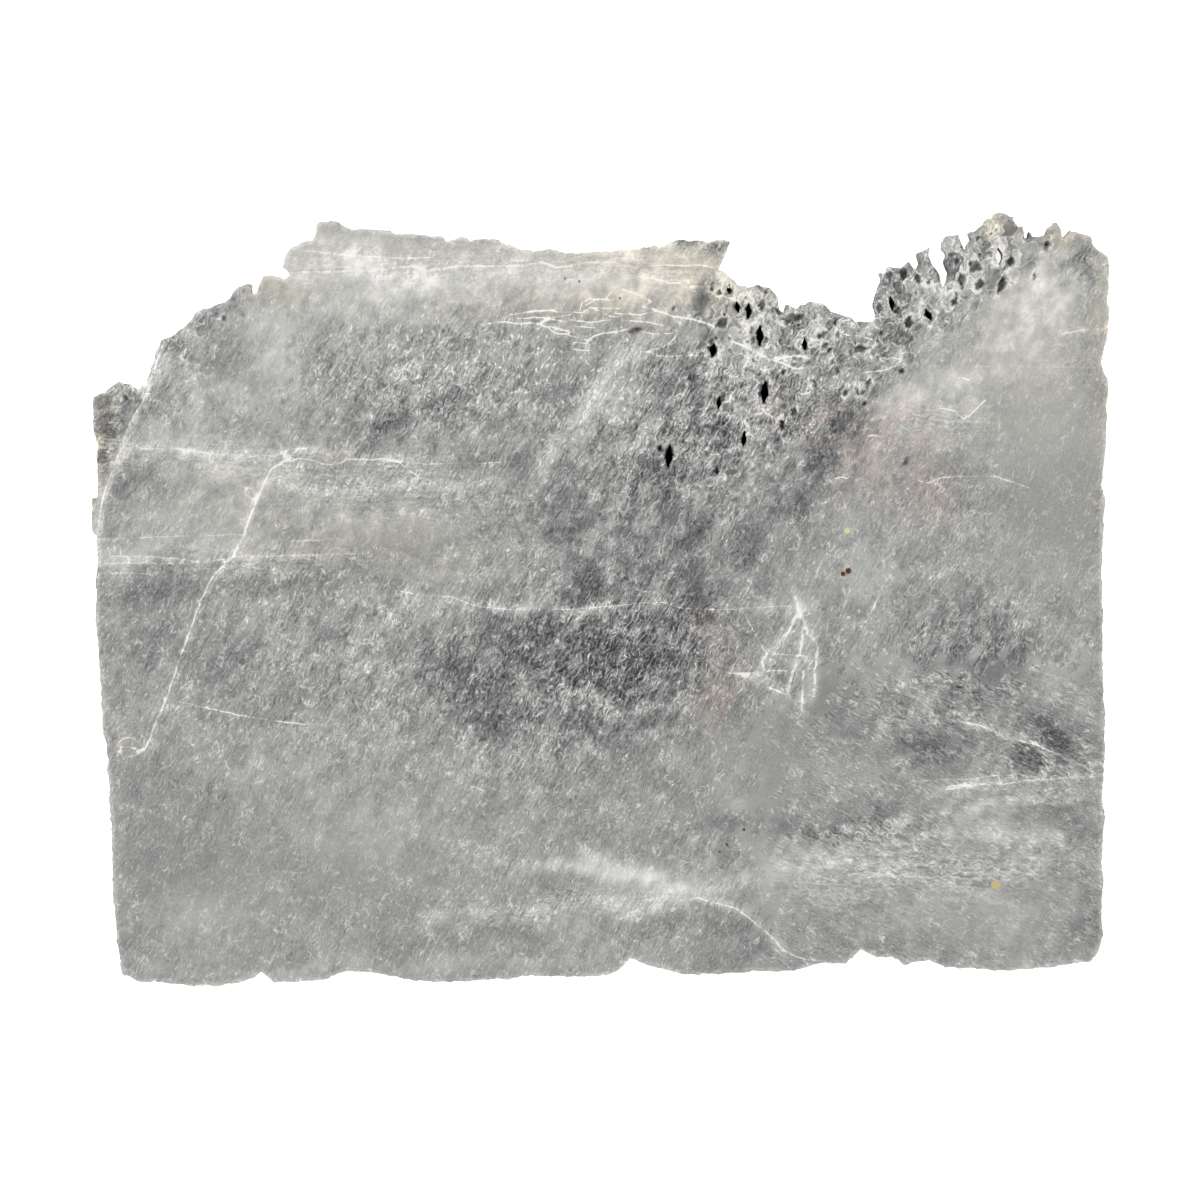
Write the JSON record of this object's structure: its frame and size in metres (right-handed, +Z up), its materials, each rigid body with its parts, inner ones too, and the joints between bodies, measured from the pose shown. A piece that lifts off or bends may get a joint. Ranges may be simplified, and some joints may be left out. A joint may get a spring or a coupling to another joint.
{
  "type": "selenite slab",
  "caption": "Natural slab of cleaved selenite gypsum that lies flat, with a ragged dissolved upper side, shallow cleavage ledges and small rhombic holes.",
  "frame": {"origin": "middle of the slab's bounding box, on the surface that its flat back rests on", "axes": "+X along the slab's long side, +Y towards its ragged dissolved side, +Z up out of its face"},
  "size_m": [0.306, 0.2328, 0.0139],
  "materials": {
    "selenite": "half clear grey gypsum, frosted in cloudy veils, with a satin to glassy cleavage face and cream, rough broken edges"
  },
  "bodies": {
    "root": {"selenite_slab": "selenite"}
  },
  "joints": []
}
